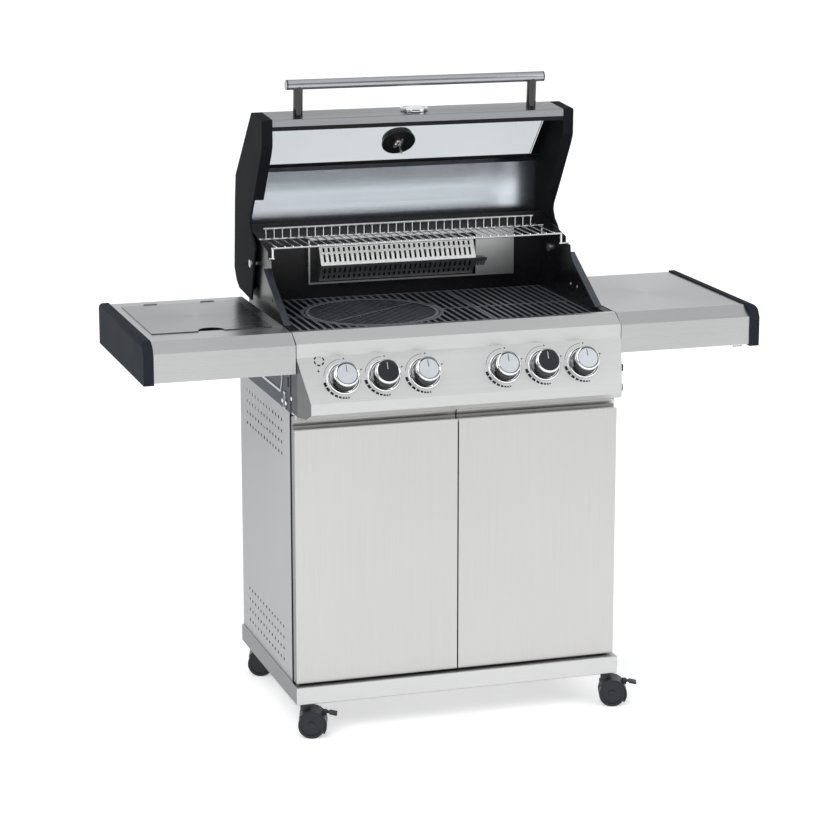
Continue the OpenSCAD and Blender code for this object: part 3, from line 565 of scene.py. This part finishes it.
# Back of the dial: a raised rim, a wing nut and its washer round the probe, heights into the lid
inward = Matrix.Translation(DIAL_MID) @ Matrix.Rotation(DIAL_TURN, 4, "X") @ Matrix.Rotation(math.pi, 4, "X")
RIM_SECTION = [(0.0372, 0.0128), (0.0390, 0.0128), (0.0388, 0.0142), (0.0374, 0.0142)]
WASHER = [(0.0045, 0.0129), (0.0100, 0.0129), (0.0096, 0.0141), (0.0045, 0.0141)]
NUT = [(0.0028, 0.0141), (0.0055, 0.0141), (0.0050, 0.0205), (0.0028, 0.0205)]
WING = [(0.0035, -0.0012), (0.0150, -0.0030), (0.0180, 0.0035), (0.0150, 0.0050), (0.0035, 0.0022)]
made("dial_rim", *ring(RIM_SECTION), DARK_FACE, "lid", inward, "knob_black", 35)
made("dial_washer", *ring(WASHER, 40), CHROME, "lid", inward, "chrome", 35)
wings = [prism([(s * x, y) for x, y in WING][::s], 0.0141, 0.0165) for s in (1, -1)]
made("dial_wing_nut", *joined(wings + [ring(NUT, 24)]), RADIANT, "lid",
     inward @ Matrix.Rotation(math.radians(62), 4, "Z"), "chrome", 35)

# Outer face of the dial: a pale plate with plain ticks and a needle, no figures
dial_top = max(dial_out(p) for p in world_points("thermometer"))
outward = Matrix.Translation(DIAL_MID + DIAL_AXIS * dial_top) @ Matrix.Rotation(DIAL_TURN, 4, "X")
DIAL_PLATE = [(0.0005, 0.0001), (0.0308, 0.0001), (0.0308, 0.0006), (0.0005, 0.0006)]
DIAL_BEZEL = [(0.0305, 0.0001), (0.0356, 0.0001), (0.0352, 0.0020), (0.0330, 0.0028), (0.0305, 0.0014)]
NEEDLE = [(-0.0012, -0.006), (0.0012, -0.006), (0.0003, 0.021), (-0.0003, 0.021)]
HUB = [(0.0005, 0.0006), (0.0030, 0.0006), (0.0028, 0.0018), (0.0005, 0.0020)]
made("dial_plate", *lathe(DIAL_PLATE), SILVER, "lid", outward, "knob_silver", 30)
made("dial_bezel", *ring(DIAL_BEZEL), CHROME, "lid", outward, "chrome", 40)
ticks = [prism(arc_band(0.0235 if a % 54 else 0.0215, 0.0285, a - 1.3, a + 1.3, 2), 0.0006, 0.0008)
         for a in range(-45, 226, 27)]
made("dial_ticks", *joined(ticks), INK, "lid", outward, "knob_black")
made("dial_needle", *joined([prism(NEEDLE, 0.0010, 0.0014), lathe(HUB, 24)]), INK, "lid",
     outward @ Matrix.Rotation(math.radians(118), 4, "Z"), "knob_black")

TUBE_CAP = [(0.0104, -0.0030), (0.01165, -0.0030), (0.01165, -0.0004), (0.0104, 0.0004)]
for s, word in ((1, "right"), (-1, "left")):
    made(f"handle_cap_{word}", *ring(TUBE_CAP, 48), GLOSS, "lid",
         Matrix.Translation((s * 0.3040, depth(306.4), 1.4103)) @ Matrix.Rotation(s * math.pi / 2, 4, "Y"),
         "gloss_black", 35)


# ---------------------------------------------------------------- side plates, panel end

PLATE_FACE = 0.3751        # |x| just outside the side plates
PANEL_FACE = 0.3736        # |x| just outside the panel's end
SCREW = [(0.0005, 0.0), (0.0052, 0.0), (0.0050, 0.0022), (0.0030, 0.0034), (0.0005, 0.0036)]
BOLT = [(0.0005, -0.0010), (0.0080, -0.0010), (0.0082, 0.0030), (0.0070, 0.0040), (0.0005, 0.0042)]
END_TAPER = math.radians(-18.1)


def plate_bar(name, points, width, out, mat, side, slot):
    """A flat strip on a side plate's outer face along (depth, height) points in mm."""
    parts = []
    for (y0, z0), (y1, z1) in zip(points, points[1:]):
        length = math.hypot(y1 - y0, z1 - z0)
        dy, dz = (y1 - y0) / length * width / 2, (z1 - z0) / length * width / 2
        corners = [(y0 - dz, z0 + dy), (y0 + dz, z0 - dy), (y1 + dz, z1 - dy), (y1 - dz, z1 + dy)]
        parts.append(bar_between(corners, side * PLATE_FACE, side * (PLATE_FACE + out / 1000)))
    made(name, *joined(parts), mat, "frame", None, slot)


def plate_trim(side, word):
    rib = [(385, 762), (108, 762), (96, 790), (96, 822)]
    plate_bar(f"{word}_plate_rib", rib, 5, 1.6, ZINC, side, "galvanised")
    # Painted shade: the plate's slot and the bracket's slot are black strips standing for the shade inside
    # the openings.
    plate_bar(f"{word}_plate_slot_shade", [(47, 784), (47, 806)], 12, 0.3, MATT_BLACK_AND_PAINTED_SHADE, side, "gloss_black")
    plate_bar(f"{word}_plate_bracket", [(74, 731), (74, 768)], 13, 2.2, ZINC, side, "galvanised")
    plate_bar(f"{word}_plate_bracket_slot_shade", [(72, 733), (76, 762)], 5, 2.5, MATT_BLACK_AND_PAINTED_SHADE, side, "gloss_black")
    screws = [(PLATE_FACE, 90, 745), (PANEL_FACE, 19, 764), (PLATE_FACE, 60, 745)]
    for number, (face, y, z) in enumerate(screws, 1):
        made(f"{word}_plate_screw_{number}", *lathe(SCREW, 24), CHROME, "frame",
             Matrix.Translation((side * face, depth(y), z / 1000))
             @ Matrix.Rotation(side * math.pi / 2, 4, "Y"), "chrome", 35)


plate_trim(-1, "left")
plate_trim(1, "right")
for number, z in enumerate((796, 751), 1):
    made(f"panel_bolt_{number}", *lathe(BOLT, 32), MATT_BLACK_AND_PAINTED_SHADE, "frame",
         Matrix.Translation((0.3688, depth(-38), z / 1000)) @ Matrix.Rotation(END_TAPER, 4, "Z")
         @ Matrix.Rotation(math.pi / 2, 4, "Y"), "gloss_black", 35)


# ---------------------------------------------------------------- stage, light, camera

def stage_mesh(name, verts, faces, mat):
    mesh = bpy.data.meshes.new(name)
    mesh.from_pydata(verts, [], faces)
    mesh.materials.append(mat)
    obj = bpy.data.objects.new(name, mesh)
    bpy.context.scene.collection.objects.link(obj)
    return obj


FLOOR = 70                 # half the floor's side
floor_look = coated("floor", (0.88, 0.88, 0.88), (0.90, 0.90, 0.90), (0.8, 0.9), 20, 0.02, 0.0001,
                    specular=0.1)
glow = floor_look.node_tree.nodes["Principled BSDF"].inputs
glow["Emission Color"].default_value = (1, 1, 1, 1)
glow["Emission Strength"].default_value = 0.42
stage_mesh("floor", [(-FLOOR, -FLOOR, 0), (FLOOR, -FLOOR, 0), (FLOOR, FLOOR, 0), (-FLOOR, FLOOR, 0)],
           [(0, 1, 2, 3)], floor_look)

world = bpy.data.worlds.new("studio")
bpy.context.scene.world = world
world.use_nodes = True
wt = world.node_tree
coord = wt.nodes.new("ShaderNodeTexCoord")
split = wt.nodes.new("ShaderNodeSeparateXYZ")
wt.links.new(coord.outputs["Generated"], split.inputs["Vector"])


def grade(stops):
    """Grey against the sine of the elevation, from straight down to straight up."""
    half = wt.nodes.new("ShaderNodeMapRange")
    half.inputs["From Min"].default_value = -1.0
    wt.links.new(split.outputs["Z"], half.inputs["Value"])
    ramp = wt.nodes.new("ShaderNodeValToRGB")
    e = ramp.color_ramp.elements
    while len(e) < len(stops):
        e.new(0.5)
    for item, (sine, grey) in zip(e, stops):
        item.position = sine / 2 + 0.5
        item.color = (grey * 0.99, grey, grey * 1.01, 1)
    wt.links.new(half.outputs["Result"], ramp.inputs["Fac"])
    return ramp.outputs["Color"]


# White all round and above, with a dark band in front that the lid's liner and the panels mirror
front_look = grade([(-1, 0.9), (0.0, 0.9), (0.07, 0.16), (0.36, 0.12), (0.52, 0.97), (0.87, 1.0), (1.0, 1.0)])
back_look = grade([(-1, 0.9), (0.0, 1.0), (0.20, 0.97), (0.36, 0.66), (0.70, 0.50), (1.0, 1.0)])
turn = wt.nodes.new("ShaderNodeMapRange")
turn.inputs["From Min"].default_value = -0.25
turn.inputs["From Max"].default_value = 0.25
wt.links.new(split.outputs["Y"], turn.inputs["Value"])
blend = wt.nodes.new("ShaderNodeMix")
blend.data_type = "RGBA"
wt.links.new(turn.outputs["Result"], blend.inputs["Factor"])
wt.links.new(front_look, blend.inputs["A"])
wt.links.new(back_look, blend.inputs["B"])
wt.links.new(blend.outputs["Result"], wt.nodes["Background"].inputs["Color"])
wt.nodes["Background"].inputs["Strength"].default_value = 1.0


def area(name, at, target, size, power, tint=(1, 1, 1)):
    data = bpy.data.lights.new(name, "AREA")
    data.shape = "RECTANGLE"
    data.size, data.size_y = size
    data.energy = power
    data.color = tint
    obj = bpy.data.objects.new(name, data)
    obj.location = at
    obj.rotation_euler = (Vector(target) - Vector(at)).to_track_quat("-Z", "Y").to_euler()
    bpy.context.scene.collection.objects.link(obj)


area("key", (-2.2, -2.6, 3.4), (0, 0, 0.8), (2.2, 2.2), 62)
area("front_right", (3.0, -2.4, 2.6), (0, 0, 0.7), (1.6, 2.0), 22, (1, 0.985, 0.96))

camera_data = bpy.data.cameras.new("camera")
camera = bpy.data.objects.new("camera", camera_data)
bpy.context.scene.collection.objects.link(camera)
camera.location = (-1.8682, FRONT - 5.5801, 2.0871)
camera.rotation_euler = (math.radians(76.783), 0, math.radians(-17.577))
camera_data.lens = 118.8
camera_data.sensor_width = 36
bpy.context.scene.camera = camera
bpy.context.scene.view_settings.view_transform = "Standard"
